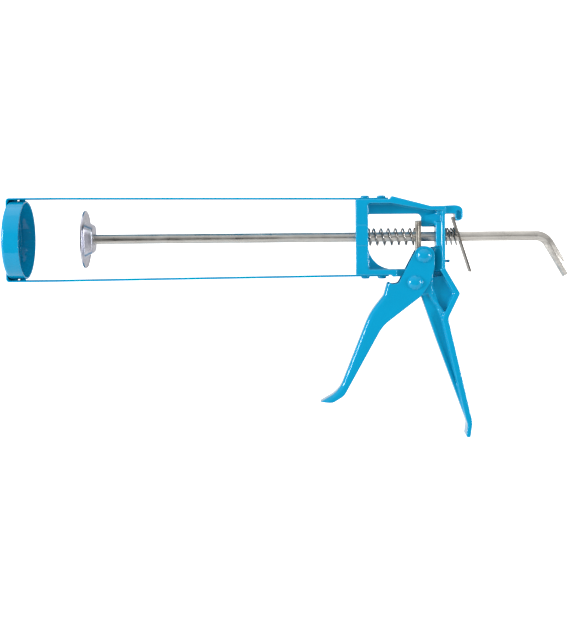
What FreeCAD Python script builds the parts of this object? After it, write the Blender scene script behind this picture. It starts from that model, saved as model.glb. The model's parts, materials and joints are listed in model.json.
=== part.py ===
import FreeCAD, Part

import math
import os

# Strap-frame caulking gun. All sizes are in millimetres.
# +X runs along the push rod from the ring to the hook, +Z is up, and the
# origin is on the rod's axis at the front face of the ring.

# Ring: a pressed cup that takes the cartridge's shoulder.
ring_outer_d = 52.1
ring_depth = 11.5
ring_wall = 1.2
ring_corner_r = 2.4
nozzle_opening_d = 29.0

# Cradle: two straps, welded to the ring and riveted over the casting.
cradle_length = 219.1
strap_width = 15.0
strap_thick = 1.0
strap_stand_off = 0.85
strap_leg = 9.5
strap_bend_r = 2.2
strap_ease_r = 60.0
strap_leg_r = 0.4
strap_parallel = 19.0
weld_dimple_r = 2.0
weld_dimple_insets = (3.3, 8.6)
strap_seat_length = 21.7

# Casting: I-section, a thin web between wide flanges.
body_length = 58.9
body_half_height = 25.05
casting_half_width = 10.5
web_half = 2.0
flange_thick = 2.9
front_bar_thick = 8.3
pad_top = 7.6
pad_bottom = 5.3
pad_proud = 0.6
window_top_depth = 9.95
window_corner_r = 2.7
window_large_r = 16.0
bottom_wall = 3.85
window_step_z = 6.45
window_pin_gap = 1.7
window_low_r = 3.0
casting_edge_r = 1.0
shoulder_rise = 2.05
bottom_step = 1.2
shoulder_gap = 2.0
slope_run = 25.9
slope_drop = 4.85
wide_bottom_length = 26.9

# Rear post, rod boss, hook and release stop.
post_thick = 2.2
post_half_width = 9.5
boss_thick = 4.0
boss_top = 9.6
boss_bottom = 6.6
boss_half_width = 8.6
hook_reach = 11.9
hook_end_thick = 5.2
hook_thick = 5.3
hook_drop = 4.7
hook_half_width = 8.0
hook_round_r = 4.0
hook_pocket_depth = 4.5
hook_pocket_rim = 1.1
hook_pocket_sink = 1.8
hook_tip_r = 1.6
hook_nose_r = 3.4
hook_crown = 0.5
hook_crown_r = 8.0
hook_inner_r = 0.6
stub_r = 0.9
stub_length = 3.8
stub_head_r = 1.2
stub_z = -16.3

# Pegs cast on the flanges and peened over the straps.
peg_insets = (6.4, 17.3)
peg_r = 2.1
peg_head_r = 2.9
peg_head_height = 1.7

# Trigger: a channel pressed from sheet, open towards the handle.
channel_inside_half = 7.8
channel_thick = 1.5
channel_bend_r = 3.4
pivot_inset = 38.9
pivot_drop = 5.05
drive_arm_x = 5.9
drive_pin_drop = 12.4
pivot_r = 2.5
drive_pin_r = 3.0
rivet_head_r = 5.0
rivet_head_height = 2.7
lug_side_gap = 0.5
lug_r = 6.0
lug_wall = 1.8
pivot_gap = 0.05
trigger_head_r = 6.2
trigger_head_lead = 3.9
trigger_head_back = 7.1

# Corners of the trigger's side view: x and z from its pivot, and the corner's radius.
trigger_tip = (-63.4, -78.5, 0)
trigger_toe_bend = (-50.8, -71.4, 20.0)
trigger_belly = (-30.2, -20.0, 45.0)
trigger_knuckle = (-20.8, -8.2, 3.0)
trigger_spur = (-18.2, 1.0, 0)
trigger_dip_front = (-15.0, -0.9, 2.5)
trigger_dip_rear = (-11.0, -0.3, 1.8)
trigger_cheek_top = (13.0, 10.0, 12.0)
trigger_cheek_rear = (9.6, -1.0, 10.0)
trigger_heel = (3.6, -9.4, 7.0)
trigger_palm = (-21.5, -28.5, 26.0)
trigger_toe_rear = (-47.2, -74.4, 9.0)
trigger_toe_under = (-54.8, -79.1, 6.0)

# Handle, cast in one with the body.
handle_half_width = 9.5
handle_front_half = 6.4
handle_rear_flange = 4.0
handle_front_rim = 2.3
cross_rib_rise = 3.1
rib_thick = 1.5
panel_half = 4.5

# Corners of the handle's side view: x from the post's rear face, z from the trigger's
# pivot, and the corner's radius.
handle_spur = (9.5, -7.5, 1.2)
handle_waist = (1.5, -23.9, 5.0)
handle_end_rear = (16.9, -92.2, 9.0)
handle_tip_rear = (15.5, -102.5, 1.3)
handle_tip_front = (12.5, -102.1, 1.3)
handle_end_front = (13.7, -93.9, 7.0)
handle_palm = (-6.3, -37.9, 40.0)

# Push rod, hexagonal, with its end bent down as a hook.
rod_flats = 6.35
rod_front_x = 51.8
rod_straight = 298.1
rod_bend_r = 10.0
rod_bend_angle = 60.0
rod_tail = 23.7
rod_guide_gap = 0.08
rod_hole_gap = 0.4

# Plunger disc: pressed, with a square hub raised towards the body.
plunger_x = 49.9
plunger_d = 38.0
plunger_thick = 1.1
hub_base = 23.6
hub_top = 17.4
hub_corner_r = 5.0
hub_height = 5.7
hub_turn = 8.0
washer_r = 5.6
washer_thick = 1.2
crimp_thick = 1.3
crimp_rise = 0.55

# Two drive plates; the drive pin pushes on the front one.
drive_plate_thick = 1.65
drive_plate_half_width = 7.2
drive_plate_window_gap = 4.4
front_plate_below_pin = 4.6
rear_plate_above_pin = 1.4
plate_corner_r = 1.2
plate_contact_gap = 0.3

# Springs.
main_spring_rod_gap = 1.18
main_wire_d = 1.15
main_turns = 7.0
release_spring_rod_gap = 1.33
release_wire_d = 1.0
release_turns = 3.2
spring_seat_gap = 0.12
closed_turns = 0.45

# Release plate, hung in the hook and leaned back on the rod.
release_tilt = 17.4
release_thick = 1.0
release_length = 38.0
release_half_width = 7.5
release_hole_gap = 1.33
release_hook_gap = 0.35
release_below_ceiling = 2.4
release_above_pivot = 0.4

# Places that follow from the sizes above.
front_run_x = trigger_knuckle[0] - trigger_belly[0]
front_run_z = trigger_knuckle[1] - trigger_belly[1]
front_run = math.hypot(front_run_x, front_run_z)
inward_x = front_run_z / front_run
inward_z = -front_run_x / front_run
ring_outer_r = ring_outer_d / 2
ring_inner_r = ring_outer_r - ring_wall
body_x = ring_depth + cradle_length
post_rear_x = body_x + body_length
window_x = body_x + front_bar_thick
boss_x = post_rear_x - post_thick - boss_thick
strap_end_x = body_x + strap_seat_length
shoulder_x = strap_end_x + shoulder_gap
slope_end_x = shoulder_x + slope_run
window_top = body_half_height - window_top_depth
window_low = body_half_height - bottom_wall
slope_end_z = body_half_height - slope_drop
drive_plate_top = window_top - drive_plate_window_gap
hook_ceiling = slope_end_z - hook_thick
pivot_x = body_x + pivot_inset
pivot_z = -body_half_height - pivot_drop
drive_pin_x = pivot_x + drive_arm_x
drive_pin_z = -drive_pin_drop
front_plate_rear_x = drive_pin_x - drive_pin_r - plate_contact_gap
front_plate_x = front_plate_rear_x - drive_plate_thick
rear_plate_x = front_plate_rear_x
plate_stop_x = rear_plate_x + drive_plate_thick + plate_contact_gap
front_plate_bottom = drive_pin_z - front_plate_below_pin
rear_plate_bottom = drive_pin_z + drive_pin_r + rear_plate_above_pin
rod_corner_r = rod_flats / math.sqrt(3)
main_spring_r = rod_corner_r + main_spring_rod_gap + main_wire_d
release_spring_r = rod_corner_r + release_spring_rod_gap + release_wire_d
release_hole_r = rod_corner_r + release_hole_gap
release_top_z = hook_ceiling - release_below_ceiling
channel_half = channel_inside_half + channel_thick
lug_half = channel_inside_half - lug_side_gap
hook_end_x = post_rear_x + hook_reach
hook_inner_x = hook_end_x - hook_end_thick
window_rear_x = drive_pin_x + drive_pin_r + window_pin_gap
hub_rear_x = plunger_x + hub_height
release_lean = math.radians(release_tilt)
hook_tip_z = hook_ceiling - hook_drop + hook_tip_r
release_clear = hook_tip_r + release_hook_gap + release_thick / 2
release_drop = (release_top_z - hook_tip_z) * math.sin(release_lean)
release_pivot_x = hook_inner_x + hook_tip_r - (release_clear + release_drop) / math.cos(release_lean)

X_AXIS = FreeCAD.Vector(1, 0, 0)
Y_AXIS = FreeCAD.Vector(0, 1, 0)
Z_AXIS = FreeCAD.Vector(0, 0, 1)


def point(x, y, z):
    return FreeCAD.Vector(x, y, z)


def block(x0, x1, half_width, z0, z1):
    """A box that is centred on the middle plane."""
    return Part.makeBox(x1 - x0, 2 * half_width, z1 - z0, point(x0, -half_width, z0))


def rod_along(radius, x0, x1, y=0.0, z=0.0):
    return Part.makeCylinder(radius, x1 - x0, point(x0, y, z), X_AXIS)


def pin_across(radius, half_length, x, z):
    return Part.makeCylinder(radius, 2 * half_length, point(x, -half_length, z), Y_AXIS)


def joined(shapes):
    result = shapes[0]
    for shape in shapes[1:]:
        result = result.fuse(shape)
    return result.removeSplitter()


def rounded_outline(corners):
    """A closed wire in the middle plane. Each corner is (x, z, radius)."""
    places = [point(x, 0, z) for x, z, _ in corners]
    count = len(places)
    edges = []
    starts, ends = [], []
    for i, (_, _, radius) in enumerate(corners):
        here = places[i]
        back = (places[i - 1] - here).normalize()
        ahead = (places[(i + 1) % count] - here).normalize()
        if radius == 0:
            starts.append(here)
            ends.append(here)
            edges.append(None)
            continue
        half = back.getAngle(ahead) / 2
        reach = radius / math.tan(half)
        bisector = (back + ahead).normalize()
        middle = here + bisector * (radius / math.sin(half) - radius)
        starts.append(here + back * reach)
        ends.append(here + ahead * reach)
        edges.append(Part.Arc(starts[i], middle, ends[i]).toShape())
    chain = []
    for i in range(count):
        if edges[i] is not None:
            chain.append(edges[i])
        following = starts[(i + 1) % count]
        if (following - ends[i]).Length > 1e-6:
            chain.append(Part.makeLine(ends[i], following))
    return Part.Wire(chain)


def slab(corners, half_width):
    """A plate of the rounded outline, centred on the middle plane."""
    face = Part.Face(rounded_outline(corners))
    face.translate(point(0, -half_width, 0))
    return face.extrude(point(0, 2 * half_width, 0))


def hexagon(x, flats):
    """A hexagon across the rod, flats above and below and corners at the sides."""
    radius = flats / math.sqrt(3)
    corners = [
        point(x, radius * math.cos(k * math.pi / 3), radius * math.sin(k * math.pi / 3))
        for k in range(7)
    ]
    return Part.Face(Part.makePolygon(corners))


# ---------------------------------------------------------------- the ring

def round_edges_before(shape, x_limit):
    """The circular edges that lie wholly in front of a place."""
    return [
        e for e in shape.Edges
        if e.BoundBox.XMax < x_limit and e.Curve.TypeId == "Part::GeomCircle"
    ]


def front_ring():
    cup = rod_along(ring_outer_r, 0, ring_depth)
    cup = cup.makeFillet(ring_corner_r, round_edges_before(cup, ring_wall))
    cavity = rod_along(ring_inner_r, ring_wall, ring_depth + ring_wall)
    cavity = cavity.makeFillet(ring_corner_r - ring_wall, round_edges_before(cavity, 2 * ring_wall))
    return cup.cut(cavity).cut(rod_along(nozzle_opening_d / 2, -ring_wall, 2 * ring_wall))


# -------------------------------------------------------------- the straps

strap_front_z = ring_outer_r + strap_stand_off
strap_body_z = body_half_height


def strap():
    """The upper strap: a leg down the ring's face, a bend, and a straight run to the casting."""
    t = strap_thick
    inner = [
        (-t, ring_outer_r - strap_leg, strap_leg_r),
        (-t, strap_front_z + t, strap_bend_r),
        (ring_depth + strap_parallel, strap_front_z + t, strap_ease_r),
        (body_x, strap_body_z + t, strap_ease_r),
        (strap_end_x, strap_body_z + t, 0),
        (strap_end_x, strap_body_z, 0),
        (body_x, strap_body_z, strap_ease_r),
        (ring_depth + strap_parallel, strap_front_z, strap_ease_r),
        (0, strap_front_z, strap_bend_r - t),
        (0, ring_outer_r - strap_leg, strap_leg_r),
    ]
    band = slab(inner, strap_width / 2)
    for inset in weld_dimple_insets:
        dimple = Part.makeCylinder(
            weld_dimple_r, strap_stand_off + t, point(inset, 0, ring_outer_r - t / 2), Z_AXIS
        )
        band = band.fuse(dimple.cut(rod_along(ring_outer_r, -t, ring_depth + t)))
    for inset in peg_insets:
        band = band.cut(
            Part.makeCylinder(peg_r, 3 * t, point(body_x + inset, 0, strap_body_z - t), Z_AXIS)
        )
    return band.removeSplitter()


def mirrored_below(shape):
    return shape.mirror(point(0, 0, 0), Z_AXIS)


# ------------------------------------------------------------- the casting

def peg(inset):
    """A peg through the strap with a peened head, which has a dimple in its middle."""
    base = point(body_x + inset, 0, strap_body_z - flange_thick / 2)
    shank = Part.makeCylinder(peg_r, flange_thick / 2 + strap_thick, base, Z_AXIS)
    head_base = point(body_x + inset, 0, strap_body_z + strap_thick)
    head = Part.makeCylinder(peg_head_r, peg_head_height, head_base, Z_AXIS)
    top_edge = [e for e in head.Edges if e.BoundBox.ZMin > head_base.z + peg_head_height / 2
                and e.Curve.TypeId == "Part::GeomCircle"]
    head = head.makeFillet(peg_head_height / 2, top_edge)
    dimple = Part.makeSphere(peg_head_r / 2, head_base + point(0, 0, peg_head_height + peg_head_r / 4))
    return shank.fuse(head.cut(dimple))


def top_flange():
    """The flange from the front bar over the shoulder and down the slope to the post."""
    top = body_half_height
    t = flange_thick
    return slab(
        [
            (body_x, top, 0),
            (shoulder_x - shoulder_gap / 2, top, 0),
            (shoulder_x, top + shoulder_rise, hook_inner_r),
            (slope_end_x, slope_end_z, 0),
            (post_rear_x, slope_end_z, 0),
            (post_rear_x, slope_end_z - t, 0),
            (slope_end_x - t / 4, slope_end_z - t, 0),
            (shoulder_x, top - t, 0),
            (body_x, top - t, 0),
        ],
        casting_half_width,
    )


def hook():
    """The rear hook that holds the release plate's upper edge."""
    root_x = post_rear_x - post_thick - flange_thick
    return slab(
        [
            (root_x, slope_end_z, 0),
            (hook_inner_x, slope_end_z + hook_crown, hook_crown_r),
            (hook_end_x, slope_end_z - hook_crown, hook_round_r),
            (hook_end_x, hook_ceiling - hook_drop, hook_nose_r),
            (hook_inner_x, hook_ceiling - hook_drop, hook_tip_r),
            (hook_inner_x, hook_ceiling, hook_inner_r),
            (root_x, hook_ceiling, 0),
        ],
        hook_half_width,
    )


def hook_pockets():
    """A shallow pocket cored into each side of the hook's end."""
    floor = hook_half_width - hook_pocket_sink
    x0 = hook_end_x - hook_pocket_depth
    x1 = hook_end_x - hook_pocket_rim
    z0 = hook_ceiling - hook_drop + hook_pocket_rim
    z1 = hook_ceiling + hook_pocket_depth / 2
    pocket = slab(
        [
            (x0, z1, casting_edge_r),
            (x1, z1, hook_tip_r),
            (x1, z0, casting_edge_r),
            (x0, z0, casting_edge_r),
        ],
        casting_half_width,
    )
    return pocket.cut(block(x0 - 1, x1 + 1, floor, z0 - 1, z1 + 1))


def window():
    """The open window that the rod, the main spring and the drive plates work in."""
    return slab(
        [
            (window_x, -window_low, window_large_r),
            (window_x, window_top, casting_edge_r),
            (plate_stop_x, window_top, window_corner_r),
            (plate_stop_x, window_step_z, casting_edge_r),
            (boss_x, window_step_z, 0),
            (boss_x, -boss_bottom, 0),
            (window_rear_x, -boss_bottom, casting_edge_r),
            (window_rear_x, -window_low, window_low_r),
        ],
        2 * casting_half_width,
    )


def body_web():
    """The thin plate in the middle of the casting."""
    return slab(
        [
            (body_x, -body_half_height, 0),
            (body_x, body_half_height, 0),
            (shoulder_x, body_half_height, 0),
            (slope_end_x, slope_end_z - flange_thick / 2, 0),
            (post_rear_x, slope_end_z - flange_thick / 2, 0),
            (post_rear_x, -body_half_height - flange_thick, 0),
            (pivot_x, -body_half_height - flange_thick, 0),
            (pivot_x, -body_half_height, 0),
        ],
        web_half,
    )


def lug():
    """The narrow lug inside the trigger's channel, with the pivot in its rounded end."""
    x0 = body_x + wide_bottom_length - flange_thick
    low = -body_half_height - bottom_step
    end_z = pivot_z - lug_r - lug_wall
    return slab(
        [
            (x0, -window_low, 0),
            (window_rear_x + web_half, -window_low, 0),
            (window_rear_x, end_z, 0),
            (pivot_x - web_half, end_z, lug_r),
            (pivot_x - lug_r - lug_wall, low, lug_r / 2),
            (x0, low, 0),
        ],
        lug_half,
    )


def handle_outline():
    """The handle hangs from the post: spur, waist, long taper and turned-in tip."""
    places = [
        handle_spur, handle_waist, handle_end_rear, handle_tip_rear,
        handle_tip_front, handle_end_front, handle_palm,
    ]
    root = [(window_rear_x, -window_low, 0), (post_rear_x, -window_low, 0)]
    heel = (pivot_x + lug_r - handle_front_rim, pivot_z - lug_r - handle_front_rim, 0)
    return root + [(post_rear_x + x, pivot_z + z, r) for x, z, r in places] + [heel]


def handle():
    """Web, a wide rear flange, a narrow front rim and the ribs of the hand web."""
    outline = handle_outline()
    rear = slab(outline, handle_half_width)
    rear = rear.cut(rear.translated(point(-handle_rear_flange, 0, 0)))
    front = slab(outline, handle_front_half)
    front = front.cut(front.translated(point(handle_front_rim, 0, 0)))
    return [slab(outline, web_half), rear, front] + hand_web_ribs()


def hand_web_ribs():
    """A raised panel behind the pivot, edged by a rib that runs down to the waist."""
    waist_x = post_rear_x + handle_waist[0] - handle_rear_flange
    waist_z = pivot_z + handle_waist[1]
    cross_rib_z = pivot_z + cross_rib_rise
    root_x = window_rear_x - rib_thick
    root_z = pivot_z - rib_thick
    rib = slab(
        [
            (root_x, root_z, 0),
            (root_x + rib_thick, root_z + rib_thick / 2, 0),
            (waist_x + rib_thick, waist_z + rib_thick, 0),
            (waist_x, waist_z, 0),
        ],
        handle_front_half,
    )
    panel = slab(
        [
            (root_x, root_z, 0),
            (window_rear_x, cross_rib_z, 0),
            (post_rear_x, cross_rib_z + rib_thick, 0),
            (post_rear_x + handle_spur[0] - handle_rear_flange, pivot_z + handle_spur[1], 0),
            (waist_x, waist_z, 0),
        ],
        panel_half,
    )
    return [rib, panel]


def stub():
    """The stop on the post's rear face that the release plate comes to rest on."""
    head_x = post_rear_x + stub_length - stub_head_r
    stem = rod_along(stub_r, post_rear_x - post_thick / 2, head_x, 0, stub_z)
    return stem.fuse(Part.makeSphere(stub_head_r, point(head_x, 0, stub_z)))


def body_casting():
    top = body_half_height
    wide_end_x = body_x + wide_bottom_length
    solids = [
        body_web(),
        block(body_x, window_x, casting_half_width, -top, top),
        block(body_x, window_x, casting_half_width + pad_proud, -pad_bottom, pad_top),
        top_flange(),
        hook(),
        block(
            post_rear_x - post_thick, post_rear_x, post_half_width,
            -window_low - flange_thick, slope_end_z - casting_edge_r
        ),
        block(boss_x, post_rear_x, boss_half_width, -boss_bottom, boss_top),
        block(body_x, wide_end_x, casting_half_width, -top, -window_low),
        block(shoulder_x, wide_end_x, casting_half_width, -top - bottom_step, -window_low),
        lug(),
        stub(),
    ]
    solids += handle()
    casting = joined(solids).cut(window()).cut(hook_pockets())
    casting = casting.cut(rod_along(rod_corner_r + rod_guide_gap, body_x - 1, post_rear_x + 1))
    casting = casting.cut(pin_across(pivot_r + pivot_gap, casting_half_width, pivot_x, pivot_z))
    for inset in peg_insets:
        casting = casting.fuse(peg(inset)).fuse(mirrored_below(peg(inset)))
    return casting.removeSplitter()


# ------------------------------------------------- the trigger and its pins

def from_pivot(places):
    return [(pivot_x + x, pivot_z + z, r) for x, z, r in places]


def trigger_front():
    """The bent front side, from the curled tip up to the spur."""
    return from_pivot([trigger_tip, trigger_toe_bend, trigger_belly, trigger_knuckle, trigger_spur])


def trigger_outline():
    """A cheek from the side: the bent front, a dip, the rounded head, and the long open rear edge."""
    r = trigger_head_r
    head = [
        (drive_pin_x - trigger_head_lead, drive_pin_z + r, r),
        (drive_pin_x + trigger_head_back, drive_pin_z + r, r),
    ]
    rear = [
        trigger_cheek_top, trigger_cheek_rear, trigger_heel, trigger_palm,
        trigger_toe_rear, trigger_toe_under,
    ]
    return trigger_front() + from_pivot([trigger_dip_front, trigger_dip_rear]) + head + from_pivot(rear)


def bend_edges(lever):
    """The long edges on both sides of the bent front, which ends at the tip and the spur."""
    low, high = trigger_front()[0], trigger_front()[-1]
    surface = slab(trigger_front() + [(high[0], low[1], 0)], 2 * channel_half).Shells[0]
    edges = []
    for edge in lever.Edges:
        middle = edge.valueAt((edge.FirstParameter + edge.LastParameter) / 2)
        on_side = edge.BoundBox.YLength < 1e-6
        on_front = surface.distToShape(Part.Vertex(middle))[0] < 1e-6
        if on_side and on_front:
            edges.append(edge)
    return edges


def trigger_lever():
    outline = trigger_outline()
    lever = slab(outline, channel_half)
    front_high = trigger_front()[-1]
    lever = lever.makeFillet(channel_bend_r, bend_edges(lever))
    inside = slab(outline, channel_inside_half)
    inside = inside.makeFillet(channel_bend_r - channel_thick, bend_edges(inside))
    inside.translate(point(channel_thick * inward_x, 0, channel_thick * inward_z))
    above = block(front_high[0], post_rear_x, channel_inside_half, front_high[1] - 2 * channel_thick, 0)
    lever = lever.cut(inside).cut(above)
    lever = lever.cut(pin_across(pivot_r, channel_half + 1, pivot_x, pivot_z))
    return lever.cut(pin_across(drive_pin_r, channel_half + 1, drive_pin_x, drive_pin_z))


def rivet(radius, x, z):
    """A pin through both cheeks with a domed head at each end."""
    pin = pin_across(radius, channel_half, x, z)
    ball_r = (rivet_head_r ** 2 + rivet_head_height ** 2) / (2 * rivet_head_height)
    ball_y = channel_half + rivet_head_height - ball_r
    for side in (-1, 1):
        ball = Part.makeSphere(ball_r, point(x, side * ball_y, z))
        start = point(x, side * channel_half, z)
        cap = Part.makeCylinder(rivet_head_r + 1, rivet_head_height, start, Y_AXIS * side)
        pin = pin.fuse(ball.common(cap))
    return pin.removeSplitter()


# --------------------------------------------------- the rod and the plunger

def push_rod():
    """A straight hexagonal bar, an arc and a short tail, with two staked ears by the disc."""
    bend_x = rod_front_x + rod_straight
    straight = hexagon(rod_front_x, rod_flats).extrude(point(rod_straight, 0, 0))
    centre = point(bend_x, 0, -rod_bend_r)
    bend = hexagon(bend_x, rod_flats).revolve(centre, Y_AXIS, rod_bend_angle)
    tail = hexagon(bend_x, rod_flats).extrude(point(rod_tail, 0, 0))
    tail.rotate(centre, Y_AXIS, rod_bend_angle)
    ears = block(hub_rear_x, hub_rear_x + crimp_thick, rod_corner_r + crimp_rise,
                 -rod_flats / 4, rod_flats / 4)
    return joined([straight, bend, tail, ears])


def square_outline(x, size, corner_r):
    """A square across the rod with rounded corners."""
    half = size / 2 - corner_r
    edges = []
    for quarter in range(4):
        start = math.pi / 2 * quarter
        a = math.pi / 4 + start
        middle = (half * math.sqrt(2) * math.cos(a), half * math.sqrt(2) * math.sin(a))
        arc = [
            point(x, middle[0] + corner_r * math.cos(t), middle[1] + corner_r * math.sin(t))
            for t in (start, a, start + math.pi / 2)
        ]
        if edges:
            edges.append(Part.makeLine(edges[-1].Vertexes[-1].Point, arc[0]))
        edges.append(Part.Arc(*arc).toShape())
    edges.append(Part.makeLine(edges[-1].Vertexes[-1].Point, edges[0].Vertexes[0].Point))
    return Part.Wire(edges)


def hub(x, base, top, corner_r, height):
    """A raised square boss with sloping sides."""
    sections = [square_outline(x, base, corner_r), square_outline(x + height, top, corner_r)]
    return Part.makeLoft(sections, True)


def plunger_disc():
    """A round plate with the square hub pressed up out of it, hollow from the front."""
    t = plunger_thick
    plate = rod_along(plunger_d / 2, plunger_x, plunger_x + t)
    raised = hub(plunger_x, hub_base, hub_top, hub_corner_r, hub_height)
    hollow = hub(plunger_x - t, hub_base - 2 * t, hub_top - 2 * t, hub_corner_r - t, hub_height)
    disc = plate.fuse(raised).cut(hollow).removeSplitter()
    disc.rotate(point(0, 0, 0), X_AXIS, hub_turn)
    return disc.cut(hexagon(plunger_x - t, rod_flats).extrude(point(2 * hub_height, 0, 0)))


def plunger_washer():
    """The washer inside the hub that the rod's front end is staked over."""
    x0 = hub_rear_x - plunger_thick - washer_thick
    washer = rod_along(washer_r, x0, x0 + washer_thick)
    return washer.cut(hexagon(x0 - 1, rod_flats).extrude(point(washer_thick + 2, 0, 0)))


# ------------------------------------------------------ plates and springs

def plate_with_hole(x0, thick, bottom, top, half_width, hole_r):
    """A flat plate across the rod with rounded corners."""
    plate = block(x0, x0 + thick, half_width, bottom, top)
    corners = [e for e in plate.Edges if e.BoundBox.XLength > thick / 2]
    plate = plate.makeFillet(plate_corner_r, corners)
    return plate.cut(rod_along(hole_r, x0 - 1, x0 + thick + 1))


def drive_plate(x0, bottom):
    hole_r = rod_corner_r + rod_hole_gap
    return plate_with_hole(
        x0, drive_plate_thick, bottom, drive_plate_top, drive_plate_half_width, hole_r
    )


def release_plate():
    """A thin plate that hangs by its upper edge and leans back, gripping the rod."""
    plate = Part.makeBox(
        release_thick, 2 * release_half_width, release_length,
        point(-release_thick / 2, -release_half_width, -release_length + release_above_pivot)
    )
    corners = [e for e in plate.Edges if e.BoundBox.XLength > release_thick / 2]
    plate = plate.makeFillet(plate_corner_r, corners)
    reach = release_top_z / math.cos(release_lean)
    plate = plate.cut(rod_along(release_hole_r, -release_thick, release_thick, 0, -reach))
    plate.rotate(point(0, 0, 0), Y_AXIS, -release_tilt)
    plate.translate(point(release_pivot_x, 0, release_top_z))
    return plate


def spring(x0, x1, radius, wire, turns, lean=0.0):
    """A coil from x0 to x1 about the rod, closed at both ends."""
    steps_per_turn = 10
    count = int(turns * steps_per_turn)
    closed = closed_turns / turns
    span = x1 - x0 - wire
    slow = wire * closed_turns / span
    places = []
    for i in range(count + 1):
        t = i / count
        if t < closed:
            along = slow * t / closed
        elif t > 1 - closed:
            along = 1 - slow * (1 - t) / closed
        else:
            along = slow + (1 - 2 * slow) * (t - closed) / (1 - 2 * closed)
        angle = 2 * math.pi * turns * t
        z = (radius - wire / 2) * math.cos(angle)
        y = -(radius - wire / 2) * math.sin(angle)
        x = x0 + wire / 2 + span * along
        places.append(point(x - lean * t * z, y, z))
    path = Part.BSplineCurve()
    path.interpolate(places)
    start = path.tangent(path.FirstParameter)[0]
    section = Part.Wire(Part.makeCircle(wire / 2, places[0], start))
    return Part.Wire(path.toShape()).makePipeShell([section], True, True)


def main_spring():
    return spring(
        window_x + spring_seat_gap, front_plate_x - spring_seat_gap,
        main_spring_r, main_wire_d, main_turns
    )


def release_spring():
    """The short coil, whose last turn leans with the release plate."""
    lean = math.tan(release_lean)
    plate_x = release_pivot_x + (release_top_z - release_spring_r) * lean
    end_x = plate_x + release_spring_r * lean - release_thick
    return spring(
        post_rear_x + spring_seat_gap, end_x - spring_seat_gap,
        release_spring_r, release_wire_d, release_turns, lean
    )


PARTS = {
    "front_ring": front_ring,
    "top_strap": strap,
    "bottom_strap": lambda: mirrored_below(strap()),
    "body_casting": body_casting,
    "trigger_lever": trigger_lever,
    "trigger_pivot_rivet": lambda: rivet(pivot_r, pivot_x, pivot_z),
    "drive_pin_rivet": lambda: rivet(drive_pin_r, drive_pin_x, drive_pin_z),
    "drive_plate_front": lambda: drive_plate(front_plate_x, front_plate_bottom),
    "drive_plate_rear": lambda: drive_plate(rear_plate_x, rear_plate_bottom),
    "main_spring": main_spring,
    "push_rod": push_rod,
    "plunger_disc": plunger_disc,
    "plunger_washer": plunger_washer,
    "release_plate": release_plate,
    "release_spring": release_spring,
}

os.makedirs("parts", exist_ok=True)
for name, build in PARTS.items():
    shape = build()
    if shape.ShapeType == "Compound" and len(shape.Solids) == 1:
        shape = shape.Solids[0]
    shape.exportStep("parts/" + name + ".step")
    print(name, shape.isValid(), len(shape.Solids), round(shape.Volume, 1))
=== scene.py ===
import json
import math

import bmesh
import bpy
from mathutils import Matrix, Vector

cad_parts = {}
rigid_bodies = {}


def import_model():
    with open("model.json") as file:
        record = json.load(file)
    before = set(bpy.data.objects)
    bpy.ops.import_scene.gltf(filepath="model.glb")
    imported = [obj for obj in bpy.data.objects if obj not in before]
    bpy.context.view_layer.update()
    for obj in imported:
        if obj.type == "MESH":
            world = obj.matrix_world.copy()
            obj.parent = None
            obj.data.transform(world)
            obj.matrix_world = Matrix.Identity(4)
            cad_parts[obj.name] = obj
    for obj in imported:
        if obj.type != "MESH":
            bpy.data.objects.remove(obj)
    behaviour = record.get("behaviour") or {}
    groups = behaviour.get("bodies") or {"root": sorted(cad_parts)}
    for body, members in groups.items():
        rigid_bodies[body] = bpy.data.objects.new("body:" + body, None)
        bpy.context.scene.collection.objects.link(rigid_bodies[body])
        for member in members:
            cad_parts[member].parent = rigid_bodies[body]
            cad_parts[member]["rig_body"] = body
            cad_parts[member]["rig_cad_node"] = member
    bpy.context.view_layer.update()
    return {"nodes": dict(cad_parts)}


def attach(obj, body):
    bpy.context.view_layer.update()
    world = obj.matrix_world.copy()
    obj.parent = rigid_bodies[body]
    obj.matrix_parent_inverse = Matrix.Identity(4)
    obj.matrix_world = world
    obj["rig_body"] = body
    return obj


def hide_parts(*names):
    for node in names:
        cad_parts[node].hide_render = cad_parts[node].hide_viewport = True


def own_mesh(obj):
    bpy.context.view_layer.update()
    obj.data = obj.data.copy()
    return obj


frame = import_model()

nodes = frame["nodes"]


# ---------------------------------------------------------------- the studio
# A pale sweep of paper below and behind, a softbox far out at each side near
# the height of the rod, and a weak one above. The white surround gives even
# light, but reflections see it dark at the sides and pale overhead.

def pick(obj):
    """Leaves one object selected and active, in object mode."""
    if bpy.context.mode != "OBJECT":
        bpy.ops.object.mode_set(mode="OBJECT")
    bpy.ops.object.select_all(action="DESELECT")
    obj.select_set(True)
    bpy.context.view_layer.objects.active = obj


def open_mesh(obj, chosen):
    """Opens a mesh for editing with the chosen vertices selected: chosen is a test on a place."""
    pick(obj)
    bpy.ops.object.mode_set(mode="EDIT")
    bpy.ops.mesh.select_mode(type="VERT")
    bpy.ops.mesh.select_all(action="DESELECT")
    mesh = bmesh.from_edit_mesh(obj.data)
    for vertex in mesh.verts:
        vertex.select = chosen(vertex.co)
    mesh.select_flush(True)
    bmesh.update_edit_mesh(obj.data)


def close_mesh():
    """Back from editing to object mode."""
    bpy.ops.object.mode_set(mode="OBJECT")


FLOOR_Z = -0.300
PAPER_SIZE = 5.0
PAPER_MIDDLE = (0.2, 2.1)
PAPER_GREY = (0.76, 0.76, 0.76, 1)
WALL_HEIGHT = 3.0
SWEEP_RADIUS = 1.2
SWEEP_STEPS = 16

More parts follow.
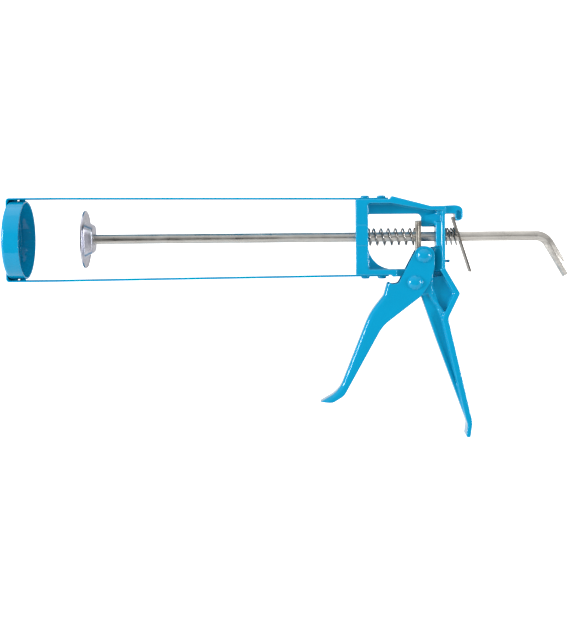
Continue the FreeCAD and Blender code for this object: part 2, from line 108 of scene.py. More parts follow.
bpy.ops.object.select_all(action="DESELECT")
bpy.ops.mesh.primitive_plane_add(size=PAPER_SIZE, location=(*PAPER_MIDDLE, FLOOR_Z))
sweep = bpy.context.object
sweep.name = "paper_sweep"
bpy.ops.object.transform_apply(location=True, rotation=True, scale=True)
open_mesh(sweep, lambda co: co.y > PAPER_MIDDLE[1])
bpy.ops.mesh.extrude_region_move(TRANSFORM_OT_translate={"value": (0, 0, WALL_HEIGHT)})
close_mesh()
open_mesh(sweep, lambda co: co.y > PAPER_MIDDLE[1] and co.z < 0)
bpy.ops.mesh.bevel(offset=SWEEP_RADIUS, segments=SWEEP_STEPS)
close_mesh()
pick(sweep)
bpy.ops.object.shade_smooth()
paper = bpy.data.materials.new("studio_paper")
paper.use_nodes = True
paper_shader = paper.node_tree.nodes["Principled BSDF"]
paper_shader.inputs["Base Color"].default_value = PAPER_GREY
paper_shader.inputs["Roughness"].default_value = 0.95
paper_shader.inputs["Specular IOR Level"].default_value = 0.0
paper_shader.inputs["Emission Color"].default_value = (1, 1, 1, 1)
paper_glow = paper.node_tree.nodes.new("ShaderNodeLightPath")
paper.node_tree.links.new(paper_glow.outputs["Is Camera Ray"], paper_shader.inputs["Emission Strength"])
sweep.data.materials.append(paper)

# How bright the surround is where the camera sees it, as light on dull surfaces,
# and in reflections, which fade from the sides' value to the top's as they rise.
SEEN_BY_CAMERA = (1.1, 1.1, 1.1, 1)
AS_LIGHT = (0.95, 0.95, 0.95, 1)
REFLECTED_SIDES = (0.07, 0.07, 0.07, 1)
REFLECTED_TOP = (0.88, 0.88, 0.88, 1)
SIDES_END, TOP_START = 0.30, 0.85
# The colour sockets of a Mix node, which share their names with its other sockets.
MIX_A, MIX_B, MIX_RESULT = 6, 7, 2

world = bpy.data.worlds.new("white_surround")
world.use_nodes = True
bpy.context.scene.world = world
world.cycles.sampling_method = "NONE"
sky = world.node_tree
background = sky.nodes["Background"]
background.inputs["Strength"].default_value = 1.0
place = sky.nodes.new("ShaderNodeTexCoord")
split = sky.nodes.new("ShaderNodeSeparateXYZ")
fade = sky.nodes.new("ShaderNodeValToRGB")
fade.color_ramp.elements[0].position = SIDES_END
fade.color_ramp.elements[0].color = REFLECTED_SIDES
fade.color_ramp.elements[1].position = TOP_START
fade.color_ramp.elements[1].color = REFLECTED_TOP
seen = sky.nodes.new("ShaderNodeLightPath")
mirrored = sky.nodes.new("ShaderNodeMix")
mirrored.data_type = "RGBA"
mirrored.inputs[MIX_A].default_value = AS_LIGHT
choose = sky.nodes.new("ShaderNodeMix")
choose.data_type = "RGBA"
choose.inputs[MIX_B].default_value = SEEN_BY_CAMERA
sky.links.new(place.outputs["Generated"], split.inputs[0])
sky.links.new(split.outputs["Z"], fade.inputs["Fac"])
sky.links.new(fade.outputs["Color"], mirrored.inputs[MIX_B])
sky.links.new(seen.outputs["Is Glossy Ray"], mirrored.inputs["Factor"])
sky.links.new(mirrored.outputs[MIX_RESULT], choose.inputs[MIX_A])
sky.links.new(seen.outputs["Is Camera Ray"], choose.inputs["Factor"])
sky.links.new(choose.outputs[MIX_RESULT], background.inputs["Color"])


def softbox(name, location, aim, size, power):
    """A rectangular light that faces a point: size is its width and height, power is in watts."""
    turn = (Vector(aim) - Vector(location)).to_track_quat("-Z", "Y").to_euler()
    bpy.ops.object.light_add(type="AREA", location=location, rotation=turn)
    lamp = bpy.context.object
    lamp.name = name
    lamp.data.shape = "RECTANGLE"
    lamp.data.size, lamp.data.size_y = size
    lamp.data.energy = power


softbox("softbox_left", location=(-1.60, -0.74, 0.22), aim=(0.25, 0, 0), size=(0.45, 0.90), power=36)
softbox("softbox_right", location=(2.14, -0.74, 0.06), aim=(0.28, 0, 0), size=(0.45, 0.60), power=23)
softbox("softbox_above", location=(0.25, 0.10, 1.40), aim=(0.25, 0, 0), size=(1.6, 0.9), power=3)

CAMERA_PLACE = (0.2168, -0.8781, 0.00065)
CAMERA_TURN_DEG = (89.9948, 0.5022, 0.9273)
bpy.ops.object.camera_add(
    location=CAMERA_PLACE, rotation=[math.radians(angle) for angle in CAMERA_TURN_DEG],
)
camera = bpy.context.object
camera.data.lens = 75.453
camera.data.sensor_width = 36.0
camera.data.shift_x = -0.045
camera.data.shift_y = -0.1243
bpy.context.scene.camera = camera
bpy.context.scene.view_settings.view_transform = "Standard"


# ------------------------------------------------------------------ the body
# One iron casting: front bar, window, post, hook and handle. It is cast in
# sand, so its edges are round and its faces a little uneven, and then sprayed.

MM = 0.001
PAINT = (0.000, 0.262, 0.474, 1)
# A deeper tone of the paint, used for its slow random mottling and also as painted shade in corners.
PAINT_DEEP_TONE_AND_CORNER_SHADE = (0.000, 0.190, 0.345, 1)
# A pale blue laid along sharp edges as a painted highlight.
PAINTED_EDGE_HIGHLIGHT_BLUE = (0.080, 0.540, 0.800, 1)


def group_of(name, inputs, outputs):
    """A new shader node group with its input and output nodes. Inputs are (name, type, value)."""
    tree = bpy.data.node_groups.new(name, "ShaderNodeTree")
    for label, kind, value in inputs:
        socket = tree.interface.new_socket(name=label, in_out="INPUT", socket_type=kind)
        socket.default_value = value
    for label, kind in outputs:
        tree.interface.new_socket(name=label, in_out="OUTPUT", socket_type=kind)
    return tree, tree.nodes.new("NodeGroupInput"), tree.nodes.new("NodeGroupOutput")


def add(tree, kind, **settings):
    """A new node with some of its settings and input values."""
    node = tree.nodes.new(kind)
    for key, value in settings.items():
        if hasattr(node, key):
            setattr(node, key, value)
        else:
            node.inputs[key.replace("_", " ")].default_value = value
    return node


def sprayed_paint():
    """Gloss paint: slow changes of depth in its colour, and the fine ripple that spray leaves."""
    tree, given, result = group_of(
        "Sprayed paint",
        [
            ("Colour", "NodeSocketColor", PAINT),
            ("Deep colour", "NodeSocketColor", PAINT_DEEP_TONE_AND_CORNER_SHADE),
            ("Cloud scale", "NodeSocketFloat", 45.0),
            ("Ripple scale", "NodeSocketFloat", 520.0),
            ("Speck", "NodeSocketFloat", 0.2),
        ],
        [("Colour", "NodeSocketColor"), ("Roughness", "NodeSocketFloat"), ("Height", "NodeSocketFloat")],
    )
    link = tree.links.new
    where = add(tree, "ShaderNodeTexCoord")
    cloud = add(tree, "ShaderNodeTexNoise", Detail=3.0, Roughness=0.55)
    link(where.outputs["Object"], cloud.inputs["Vector"])
    link(given.outputs["Cloud scale"], cloud.inputs["Scale"])
    depth = add(tree, "ShaderNodeMapRange", From_Min=0.35, From_Max=0.75, To_Min=0.0, To_Max=0.35)
    link(cloud.outputs["Fac"], depth.inputs["Value"])
    tint = add(tree, "ShaderNodeMix", data_type="RGBA")
    link(depth.outputs["Result"], tint.inputs["Factor"])
    link(given.outputs["Colour"], tint.inputs[MIX_A])
    link(given.outputs["Deep colour"], tint.inputs[MIX_B])
    link(tint.outputs[MIX_RESULT], result.inputs["Colour"])
    ripple = add(tree, "ShaderNodeTexNoise", Detail=1.5, Roughness=0.4)
    link(where.outputs["Object"], ripple.inputs["Vector"])
    link(given.outputs["Ripple scale"], ripple.inputs["Scale"])
    speck = add(tree, "ShaderNodeTexNoise", Scale=1900.0, Detail=1.0)
    link(where.outputs["Object"], speck.inputs["Vector"])
    grit = add(tree, "ShaderNodeMath", operation="MULTIPLY")
    link(speck.outputs["Fac"], grit.inputs[0])
    link(given.outputs["Speck"], grit.inputs[1])
    height = add(tree, "ShaderNodeMath", operation="ADD")
    link(ripple.outputs["Fac"], height.inputs[0])
    link(grit.outputs[0], height.inputs[1])
    link(height.outputs[0], result.inputs["Height"])
    gloss = add(tree, "ShaderNodeMapRange", From_Min=0.3, From_Max=0.7, To_Min=0.24, To_Max=0.34)
    link(cloud.outputs["Fac"], gloss.inputs["Value"])
    link(gloss.outputs["Result"], result.inputs["Roughness"])
    return tree


def painted_edge_highlight_and_corner_shade():
    """Painted light where the surface turns sharply: a painted highlight on edges and painted shade in
    corners.
    """
    tree, given, result = group_of(
        "Painted edge highlight and corner shade",
        [
            ("Colour", "NodeSocketColor", PAINT),
            ("Edge colour", "NodeSocketColor", PAINTED_EDGE_HIGHLIGHT_BLUE),
            ("Corner colour", "NodeSocketColor", PAINT_DEEP_TONE_AND_CORNER_SHADE),
            ("Strength", "NodeSocketFloat", 0.5),
        ],
        [("Colour", "NodeSocketColor")],
    )
    link = tree.links.new
    shape = add(tree, "ShaderNodeNewGeometry")
    # Two masks from pointiness: one picks out convex edges for a painted highlight, the other picks out
    # creases for painted shade.
    edge = add(tree, "ShaderNodeMapRange", From_Min=0.53, From_Max=0.62, To_Min=0.0, To_Max=1.0)
    corner = add(tree, "ShaderNodeMapRange", From_Min=0.47, From_Max=0.40, To_Min=0.0, To_Max=1.0)
    coloured = given.outputs["Colour"]
    for mask, name in ((edge, "Edge colour"), (corner, "Corner colour")):
        link(shape.outputs["Pointiness"], mask.inputs["Value"])
        share = add(tree, "ShaderNodeMath", operation="MULTIPLY")
        link(mask.outputs["Result"], share.inputs[0])
        link(given.outputs["Strength"], share.inputs[1])
        mix = add(tree, "ShaderNodeMix", data_type="RGBA")
        link(share.outputs[0], mix.inputs["Factor"])
        link(coloured, mix.inputs[MIX_A])
        link(given.outputs[name], mix.inputs[MIX_B])
        coloured = mix.outputs[MIX_RESULT]
    link(coloured, result.inputs["Colour"])
    return tree


SPRAYED_PAINT = sprayed_paint()
PAINTED_EDGE_HIGHLIGHT_AND_CORNER_SHADE = painted_edge_highlight_and_corner_shade()


def placed(tree, group, **values):
    """A group set into a material with its own values."""
    node = tree.nodes.new("ShaderNodeGroup")
    node.node_tree = group
    for key, value in values.items():
        node.inputs[key.replace("_", " ")].default_value = value
    return node


def blue_paint(name, cloud, ripple, speck, bump, edges=0.0, gloss=1.0):
    """Cyan-blue paint for one kind of piece: cloud and ripple are scales, the rest are amounts."""
    material = bpy.data.materials.new(name)
    material.use_nodes = True
    tree = material.node_tree
    link = tree.links.new
    surface = tree.nodes["Principled BSDF"]
    coat = placed(
        tree, SPRAYED_PAINT, Colour=PAINT, Deep_colour=PAINT_DEEP_TONE_AND_CORNER_SHADE,
        Cloud_scale=cloud, Ripple_scale=ripple, Speck=speck,
    )
    colour = coat.outputs["Colour"]
    # edges sets how strongly a painted highlight is laid on sharp edges and painted shade in corners.
    if edges:
        caught = placed(
            tree, PAINTED_EDGE_HIGHLIGHT_AND_CORNER_SHADE, Edge_colour=PAINTED_EDGE_HIGHLIGHT_BLUE, Corner_colour=PAINT_DEEP_TONE_AND_CORNER_SHADE, Strength=edges,
        )
        link(colour, caught.inputs["Colour"])
        colour = caught.outputs["Colour"]
    link(colour, surface.inputs["Base Color"])
    link(coat.outputs["Roughness"], surface.inputs["Roughness"])
    surface.inputs["Specular IOR Level"].default_value = 0.05 * gloss
    surface.inputs["Coat Weight"].default_value = gloss
    surface.inputs["Coat Roughness"].default_value = 0.03
    surface.inputs["Coat IOR"].default_value = 1.38
    relief = add(tree, "ShaderNodeBump", Strength=bump, Distance=0.0002)
    link(coat.outputs["Height"], relief.inputs["Height"])
    link(relief.outputs["Normal"], surface.inputs["Normal"])
    return material


DOUBLES_WITHIN = 2e-6
FLAT_WITHIN_DEG = 0.4


def copy_of(node, name):
    """A loose copy of a piece's mesh with its doubles merged and its flat faces made whole."""
    pick(nodes[node])
    bpy.ops.object.duplicate()
    piece = bpy.context.object
    bpy.ops.object.parent_clear(type="CLEAR_KEEP_TRANSFORM")
    piece.name = name
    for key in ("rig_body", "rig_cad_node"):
        if key in piece:
            del piece[key]
    piece.data.materials.clear()
    if piece.data.has_custom_normals:
        bpy.ops.mesh.customdata_custom_splitnormals_clear()
    bpy.ops.object.mode_set(mode="EDIT")
    bpy.ops.mesh.select_all(action="SELECT")
    bpy.ops.mesh.remove_doubles(threshold=DOUBLES_WITHIN)
    bpy.ops.mesh.dissolve_limited(angle_limit=math.radians(FLAT_WITHIN_DEG))
    bpy.ops.object.mode_set(mode="OBJECT")
    return piece


def finish_by(piece, kind, **settings):
    """Adds one modifier to a piece and applies it."""
    pick(piece)
    bpy.ops.object.modifier_add(type=kind)
    modifier = piece.modifiers[-1]
    for key, value in settings.items():
        setattr(modifier, key, value)
    bpy.ops.object.modifier_apply(modifier=modifier.name)


def wedge(name, front, front_half, rear, rear_half):
    """A block between a front and a rear edge, in millimetres.

    Each edge has a top and a bottom place in side view, and a half width at each.
    """
    bpy.ops.object.select_all(action="DESELECT")
    bpy.ops.mesh.primitive_cube_add(size=2)
    block = bpy.context.object
    block.name = name
    for vertex in block.data.vertices:
        places, halves = (front, front_half) if vertex.co.x < 0 else (rear, rear_half)
        end = 0 if vertex.co.z > 0 else 1
        x, z = places[end]
        vertex.co = (x * MM, math.copysign(halves[end] * MM, vertex.co.y), z * MM)
    return block


# Half widths of what is added to the web, and the place of the post's front face,
# in millimetres.
FRONT_RIM_HALF = 6.3
GROOVE_HALF = 5.2
GROOVE_END_HALF = 5.6
CROSS_RIB_HALF = 7.4
WEB_FACE_HALF = 2.2
POST_DRAFT_HALF = 7.8
WINDOW_DRAFT_HALF = 6.0
POST_FACE_X = 287.6

casting = copy_of("body_casting", "iron_casting")
additions = [
    # the web of the handle slopes from its front rim down to a groove by the rear flange
    wedge(
        "handle_shoulder",
        front=((273.6, -36.0), (280.4, -56.0)), front_half=(FRONT_RIM_HALF, FRONT_RIM_HALF),
        rear=((279.5, -33.5), (288.0, -55.0)), rear_half=(FRONT_RIM_HALF, GROOVE_HALF),
    ),
    wedge(
        "handle_slope",
        front=((280.2, -55.5), (296.8, -104.5)), front_half=(FRONT_RIM_HALF, FRONT_RIM_HALF),
        rear=((288.0, -54.5), (298.9, -103.0)), rear_half=(GROOVE_HALF, GROOVE_END_HALF),
    ),
    # the thin rib across the hand web
    wedge(
        "web_rib",
        front=((276.6, -36.1), (288.3, -51.2)), front_half=(CROSS_RIB_HALF, CROSS_RIB_HALF),
        rear=((277.8, -35.1), (289.5, -50.3)), rear_half=(CROSS_RIB_HALF, CROSS_RIB_HALF),
    ),
    # the draft that the mould leaves inside the post and in the window's corner
    wedge(
        "post_draft",
        front=((280.6, -6.8), (280.6, -23.0)), front_half=(WEB_FACE_HALF, WEB_FACE_HALF),
        rear=((POST_FACE_X, -6.8), (POST_FACE_X, -23.0)), rear_half=(POST_DRAFT_HALF, POST_DRAFT_HALF),
    ),
    wedge(
        "window_draft",
        front=((276.0, 14.0), (279.0, 7.0)), front_half=(WEB_FACE_HALF, WEB_FACE_HALF),
        rear=((POST_FACE_X, 16.5), (POST_FACE_X, 9.0)), rear_half=(WINDOW_DRAFT_HALF, WINDOW_DRAFT_HALF),
    ),
]
pick(casting)
for block in additions:
    block.select_set(True)
bpy.context.view_layer.objects.active = casting
bpy.ops.object.join()

# All of it is made anew on a fine grid and smoothed, which joins the pieces and
# rounds every edge as the mould does.
CASTING_GRID = 0.00048
CASTING_SMOOTHING = 5
finish_by(casting, "REMESH", mode="VOXEL", voxel_size=CASTING_GRID)
finish_by(casting, "SMOOTH", factor=0.5, iterations=CASTING_SMOOTHING)
bpy.ops.object.shade_smooth()
# The iron's paint carries a painted highlight along its edges and painted shade in its corners.
casting.data.materials.append(
    blue_paint("paint_on_iron", cloud=38.0, ripple=260.0, speck=0.3, bump=0.05, edges=0.8)
)
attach(casting, "frame")
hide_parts("body_casting")


# ---------------------------------------------------- the ring and the straps
# The ring is pressed from sheet as a shallow cup. The straps are cut from flat
# bar, bent round its face, and spot welded to it at two dimples each.

SHARP_FROM_DEG = 32


def eased(piece, width, segments=2):
    """Breaks the sharp edges of a piece by a width in millimetres and smooths what is left."""
    finish_by(
        piece, "BEVEL", width=width * MM, segments=segments, limit_method="ANGLE",
        angle_limit=math.radians(SHARP_FROM_DEG), harden_normals=True, use_clamp_overlap=True,
    )
    pick(piece)
    bpy.ops.object.shade_smooth_by_angle(angle=math.radians(SHARP_FROM_DEG))
    return piece


SHEET_PAINT = blue_paint("paint_on_sheet", cloud=30.0, ripple=420.0, speck=0.15, bump=0.05)

ring = eased(copy_of("front_ring", "pressed_ring"), width=0.45, segments=3)
ring.data.materials.append(SHEET_PAINT)
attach(ring, "frame")
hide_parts("front_ring")

BAR_PAINT = blue_paint("paint_on_bar", cloud=34.0, ripple=400.0, speck=0.2, bump=0.06, gloss=0.0)
for node in ("top_strap", "bottom_strap"):
    band = eased(copy_of(node, node + "_bar"), width=0.08)
    band.data.materials.append(BAR_PAINT)
    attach(band, "frame")
    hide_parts(node)


# ------------------------------------------------------ the trigger and rivets
# The trigger is a channel pressed from sheet, open towards the handle. Two solid
# rivets cross it: the lower is its pivot, the upper pushes the drive plates.

LEVER_GRID = 0.00035
LEVER_SMOOTHING = 7

lever = copy_of("trigger_lever", "trigger_channel")
finish_by(lever, "REMESH", mode="VOXEL", voxel_size=LEVER_GRID)
finish_by(lever, "SMOOTH", factor=0.5, iterations=LEVER_SMOOTHING)
bpy.ops.object.shade_smooth()
# The trigger's paint carries a weaker painted highlight on its edges and painted shade in its corners.
lever.data.materials.append(
    blue_paint("paint_on_trigger", cloud=26.0, ripple=150.0, speck=0.1, bump=0.02, edges=0.3)
)
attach(lever, "trigger")
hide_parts("trigger_lever")

for node in ("trigger_pivot_rivet", "drive_pin_rivet"):
    nodes[node].data.materials.clear()
    nodes[node].data.materials.append(SHEET_PAINT)


# --------------------------------------------------------------- the push rod
# Bright drawn hexagonal bar, bent at its end, that slides through the casting.
# The die leaves fine lines along each flat, and handling leaves dull patches.

def drawn_steel():
    """Bare steel with lines along one direction, dull patches and small pits."""
    tree, given, result = group_of(
        "Drawn steel",
        [
            ("Light", "NodeSocketColor", (0.7, 0.68, 0.64, 1)),
            ("Dark", "NodeSocketColor", (0.4, 0.38, 0.35, 1)),
            ("Stretch", "NodeSocketVector", (30.0, 900.0, 900.0)),
            ("Patch scale", "NodeSocketFloat", 90.0),
            ("Pits", "NodeSocketFloat", 0.3),
            ("Rough low", "NodeSocketFloat", 0.25),
            ("Rough high", "NodeSocketFloat", 0.5),
        ],
        [("Colour", "NodeSocketColor"), ("Roughness", "NodeSocketFloat"), ("Height", "NodeSocketFloat")],
    )
    link = tree.links.new
    where = add(tree, "ShaderNodeTexCoord")
    stretched = add(tree, "ShaderNodeVectorMath", operation="MULTIPLY")
    link(where.outputs["Object"], stretched.inputs[0])
    link(given.outputs["Stretch"], stretched.inputs[1])
    lines = add(tree, "ShaderNodeTexNoise", Scale=1.0, Detail=4.0, Roughness=0.6)
    link(stretched.outputs[0], lines.inputs["Vector"])
    patches = add(tree, "ShaderNodeTexNoise", Detail=5.0, Roughness=0.62)
    link(where.outputs["Object"], patches.inputs["Vector"])
    link(given.outputs["Patch scale"], patches.inputs["Scale"])
    both = add(tree, "ShaderNodeMath", operation="ADD")
    link(lines.outputs["Fac"], both.inputs[0])
    link(patches.outputs["Fac"], both.inputs[1])
    shade = add(tree, "ShaderNodeMapRange", From_Min=0.75, From_Max=1.25, To_Min=1.0, To_Max=0.0)
    link(both.outputs[0], shade.inputs["Value"])
    tint = add(tree, "ShaderNodeMix", data_type="RGBA")
    link(shade.outputs["Result"], tint.inputs["Factor"])
    link(given.outputs["Light"], tint.inputs[MIX_A])
    link(given.outputs["Dark"], tint.inputs[MIX_B])
    link(tint.outputs[MIX_RESULT], result.inputs["Colour"])
    rough = add(tree, "ShaderNodeMapRange", From_Min=0.35, From_Max=0.68)
    link(patches.outputs["Fac"], rough.inputs["Value"])
    link(given.outputs["Rough low"], rough.inputs["To Min"])
    link(given.outputs["Rough high"], rough.inputs["To Max"])
    link(rough.outputs["Result"], result.inputs["Roughness"])
    dots = add(tree, "ShaderNodeTexVoronoi", Scale=700.0)
    link(where.outputs["Object"], dots.inputs["Vector"])
    pit = add(tree, "ShaderNodeMapRange", From_Min=0.0, From_Max=0.22, To_Min=-1.0, To_Max=0.0)
    link(dots.outputs["Distance"], pit.inputs["Value"])
    deep = add(tree, "ShaderNodeMath", operation="MULTIPLY")
    link(pit.outputs["Result"], deep.inputs[0])
    link(given.outputs["Pits"], deep.inputs[1])
    height = add(tree, "ShaderNodeMath", operation="ADD")
    link(lines.outputs["Fac"], height.inputs[0])
    link(deep.outputs[0], height.inputs[1])
    link(height.outputs[0], result.inputs["Height"])
    return tree


DRAWN_STEEL = drawn_steel()


def bare_metal(name, bump, **values):
    """A bare steel finish for one kind of piece."""
    material = bpy.data.materials.new(name)
    material.use_nodes = True
    tree = material.node_tree
    link = tree.links.new
    surface = tree.nodes["Principled BSDF"]
    surface.inputs["Metallic"].default_value = 1.0
    steel = placed(tree, DRAWN_STEEL, **values)
    link(steel.outputs["Colour"], surface.inputs["Base Color"])
    link(steel.outputs["Roughness"], surface.inputs["Roughness"])
    relief = add(tree, "ShaderNodeBump", Strength=bump, Distance=0.0001)
    link(steel.outputs["Height"], relief.inputs["Height"])
    link(relief.outputs["Normal"], surface.inputs["Normal"])
    return material


rod = eased(copy_of("push_rod", "drawn_rod"), width=0.14)
rod.data.materials.append(bare_metal(
    "drawn_rod_steel", 0.15, Light=(0.74, 0.71, 0.66, 1), Dark=(0.48, 0.46, 0.43, 1),
    Stretch=(45.0, 1100.0, 1100.0), Patch_scale=110.0, Pits=0.5, Rough_low=0.26, Rough_high=0.46,
))
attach(rod, "plunger")
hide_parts("push_rod")


# ------------------------------------------------- the plunger disc and washer
# A zinc-plated disc, pressed with a square hub that stiffens it and a rim that
# the press leaves slightly waved. Inside the hub, the rod's front end is staked
# over a plated washer.

DISC_FRONT = 49.95
DISC_R = 18.95
DISC_THICK = 1.1
DISC_EDGE = 0.22
DISC_EDGES_FROM_DEG = 50
DISC_SHARP_FROM_DEG = 40
DISC_STEPS = 112
BORE_R = 3.3
HUB_HALF = 11.9
HUB_TOP_HALF = 8.6
HUB_RISE = 5.5
HUB_TURN = math.radians(8)
FLAT_END = 15.4
RIM_WAVE = 0.03
RIM_WAVES = 9
SLOW_WAVES = 5
SLOW_WAVE = 0.3
SLOW_WAVE_START = 1.3


def square_reach(angle, half, squareness):
    """How far a rounded square reaches from its centre at an angle."""
    c, s = abs(math.cos(angle)), abs(math.sin(angle))
    return half / (c ** squareness + s ** squareness) ** (1 / squareness)


bpy.ops.object.select_all(action="DESELECT")
bpy.ops.mesh.primitive_circle_add(
    vertices=DISC_STEPS, radius=1.0, fill_type="NOTHING", rotation=(0, math.pi / 2, 0),
)
disc = bpy.context.object
disc.name = "zinc_disc"
bpy.ops.object.transform_apply(location=True, rotation=True, scale=True)
# Each ring from the bore to the rim: how far out it is, how high it stands over
# the flat, and how square it is, where 0 is a circle.
RINGS = [
    (BORE_R, HUB_RISE, 0),
    (5.2, HUB_RISE, 3),
    (HUB_TOP_HALF - 0.7, HUB_RISE, 4.5),
    (HUB_TOP_HALF - 0.15, HUB_RISE - 0.12, 5),
    (HUB_TOP_HALF + 0.3, HUB_RISE - 0.5, 5),
    (HUB_HALF - 1.0, 0.75, 5.5),
    (HUB_HALF - 0.5, 0.35, 5.5),
    (HUB_HALF + 0.2, 0.08, 5.5),
    (HUB_HALF + 0.9, 0.0, 5),
    (FLAT_END + 0.6, 0.0, 0),
    (17.4, 0.05, 0),
    (18.4, 0.22, 0),
    (DISC_R, 0.45, 0),
]
bpy.ops.object.mode_set(mode="EDIT")
bpy.ops.mesh.select_all(action="SELECT")
for _ in RINGS[1:]:
    bpy.ops.mesh.extrude_region_move()
close_mesh()
per_ring = len(disc.data.vertices) // len(RINGS)
for index, vertex in enumerate(disc.data.vertices):
    size, rise, square = RINGS[index // per_ring]
    angle = 2 * math.pi * (index % per_ring) / per_ring
    reach = square_reach(angle - HUB_TURN, size, square) if square else size
    edge = max(0.0, (reach - FLAT_END) / (DISC_R - FLAT_END)) if not square else 0.0
    wave = math.sin(RIM_WAVES * angle) + SLOW_WAVE * math.sin(SLOW_WAVES * angle + SLOW_WAVE_START)
    reach += RIM_WAVE * edge * (wave - (1 + SLOW_WAVE))
    rise += RIM_WAVE * edge * wave
    vertex.co = (
        (DISC_FRONT + DISC_THICK + rise) * MM,
        reach * math.cos(angle) * MM,
        reach * math.sin(angle) * MM,
    )
open_mesh(disc, lambda co: True)
bpy.ops.mesh.normals_make_consistent(inside=False)
close_mesh()
facing = sum(face.normal.x * face.area for face in disc.data.polygons)
if facing < 0:
    open_mesh(disc, lambda co: True)
    bpy.ops.mesh.flip_normals()
    close_mesh()
finish_by(disc, "SOLIDIFY", thickness=DISC_THICK * MM, offset=-1.0)
finish_by(
    disc, "BEVEL", width=DISC_EDGE * MM, segments=2, limit_method="ANGLE",
    angle_limit=math.radians(DISC_EDGES_FROM_DEG),
)
pick(disc)
bpy.ops.object.shade_smooth_by_angle(angle=math.radians(DISC_SHARP_FROM_DEG))
finish_by(disc, "WEIGHTED_NORMAL", weight=90, keep_sharp=True)


def zinc_plating():
    """Bright passivated zinc: a blue-grey ground with drifts of violet, green and straw."""
    tree, given, result = group_of(
        "Zinc plating",
        [
            ("Ground", "NodeSocketColor", (0.62, 0.62, 0.64, 1)),
            ("Tint strength", "NodeSocketFloat", 0.5),
            ("Drift scale", "NodeSocketFloat", 60.0),
        ],
        [("Colour", "NodeSocketColor"), ("Roughness", "NodeSocketFloat"), ("Height", "NodeSocketFloat")],
    )
    link = tree.links.new
    where = add(tree, "ShaderNodeTexCoord")
    drift = add(tree, "ShaderNodeTexNoise", Detail=4.0, Roughness=0.55, Distortion=0.6)
    link(where.outputs["Object"], drift.inputs["Vector"])
    link(given.outputs["Drift scale"], drift.inputs["Scale"])
    tints = add(tree, "ShaderNodeValToRGB")
    ramp = tints.color_ramp
    ramp.elements[0].position, ramp.elements[0].color = 0.30, (0.30, 0.44, 0.42, 1)
    ramp.elements[1].position, ramp.elements[1].color = 0.74, (0.66, 0.62, 0.50, 1)
    between = {
        0.43: (0.56, 0.55, 0.68, 1),
        0.54: (0.68, 0.68, 0.74, 1),
        0.63: (0.55, 0.50, 0.58, 1),
    }
    for position, colour in between.items():
        ramp.elements.new(position).color = colour
    link(drift.outputs["Fac"], tints.inputs["Fac"])
    mix = add(tree, "ShaderNodeMix", data_type="RGBA")
    link(given.outputs["Tint strength"], mix.inputs["Factor"])
    link(given.outputs["Ground"], mix.inputs[MIX_A])
    link(tints.outputs["Color"], mix.inputs[MIX_B])
    link(mix.outputs[MIX_RESULT], result.inputs["Colour"])
    cloud = add(tree, "ShaderNodeTexNoise", Scale=240.0, Detail=5.0)
    link(where.outputs["Object"], cloud.inputs["Vector"])
    rough = add(tree, "ShaderNodeMapRange", From_Min=0.3, From_Max=0.7, To_Min=0.28, To_Max=0.42)
    link(cloud.outputs["Fac"], rough.inputs["Value"])
    link(rough.outputs["Result"], result.inputs["Roughness"])
    link(cloud.outputs["Fac"], result.inputs["Height"])
    return tree


ZINC_PLATING = zinc_plating()
zinc = bpy.data.materials.new("passivated_zinc")
zinc.use_nodes = True
zinc_nodes = zinc.node_tree
zinc_link = zinc_nodes.links.new
plated = zinc_nodes.nodes["Principled BSDF"]
plated.inputs["Metallic"].default_value = 1.0
plating = placed(
    zinc_nodes, ZINC_PLATING, Ground=(0.55, 0.55, 0.60, 1), Tint_strength=0.5, Drift_scale=70.0,
)
zinc_link(plating.outputs["Colour"], plated.inputs["Base Color"])
zinc_link(plating.outputs["Roughness"], plated.inputs["Roughness"])
plated_relief = add(zinc_nodes, "ShaderNodeBump", Strength=0.12, Distance=0.0001)
zinc_link(plating.outputs["Height"], plated_relief.inputs["Height"])
zinc_link(plated_relief.outputs["Normal"], plated.inputs["Normal"])
disc.data.materials.append(zinc)
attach(disc, "plunger")
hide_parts("plunger_disc")

nodes["plunger_washer"].data.materials.clear()
nodes["plunger_washer"].data.materials.append(zinc)


# -------------------------------------------------- drive and release plates
# Steel blanks with a hole for the rod. Two drive plates lie against each other.
# The release plate is thinner, duller and a little brown, and hangs in the hook.

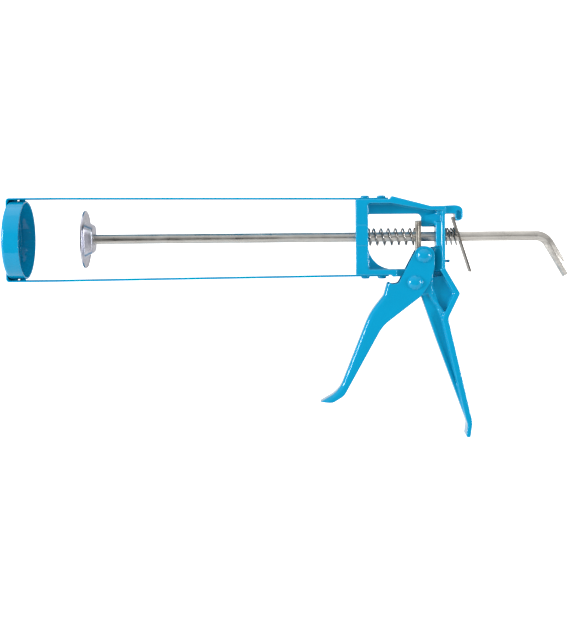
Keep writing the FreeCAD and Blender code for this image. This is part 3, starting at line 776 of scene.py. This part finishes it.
PLATE_FINISHES = {
    "drive_plate_front": ("drive_plates", bare_metal(
        "front_plate_steel", 0.2, Light=(0.84, 0.79, 0.70, 1), Dark=(0.58, 0.54, 0.47, 1),
        Stretch=(300.0, 300.0, 1500.0), Patch_scale=160.0, Pits=0.6, Rough_low=0.32, Rough_high=0.55,
    )),
    "drive_plate_rear": ("drive_plates", bare_metal(
        "rear_plate_steel", 0.2, Light=(0.74, 0.70, 0.61, 1), Dark=(0.44, 0.40, 0.35, 1),
        Stretch=(300.0, 300.0, 1500.0), Patch_scale=150.0, Pits=0.6, Rough_low=0.34, Rough_high=0.55,
    )),
    "release_plate": ("release_plate", bare_metal(
        "release_plate_steel", 0.3, Light=(0.60, 0.55, 0.49, 1), Dark=(0.34, 0.30, 0.26, 1),
        Stretch=(900.0, 900.0, 120.0), Patch_scale=120.0, Pits=0.7, Rough_low=0.30, Rough_high=0.52,
    )),
}
for node, (body, finish) in PLATE_FINISHES.items():
    plate = eased(copy_of(node, node + "_blank"), width=0.16)
    plate.data.materials.append(finish)
    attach(plate, body)
    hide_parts(node)


# ---------------------------------------------------------------- the springs
# Two coils of smooth steel wire, wound cold and loose on the rod. The long one
# pushes the drive plates back, the short one holds the release plate back.

WIRE = bare_metal(
    "music_wire", 0.12, Light=(0.44, 0.42, 0.40, 1), Dark=(0.24, 0.23, 0.22, 1),
    Stretch=(500.0, 500.0, 500.0), Patch_scale=200.0, Pits=0.2, Rough_low=0.12, Rough_high=0.28,
)
COIL_SHARP_FROM_DEG = 50
# Each spring sits on the casting at its front end and is fixed to the frame as it is wound. For each:
# the joint that it follows, its seat's place, and how much it shortens, in metres.
SPRINGS = {
    "main_spring": ("drive_slide", 0.2389, 0.0097),
    "release_spring": ("release_hinge", 0.2895, 0.0037),
}
for node, (joint, seat_x, travel) in SPRINGS.items():
    coil = copy_of(node, node + "_coil")
    pick(coil)
    bpy.ops.object.shade_smooth_by_angle(angle=math.radians(COIL_SHARP_FROM_DEG))
    coil.data.materials.append(WIRE)
    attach(coil, "frame")
    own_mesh(coil)
    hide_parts(node)
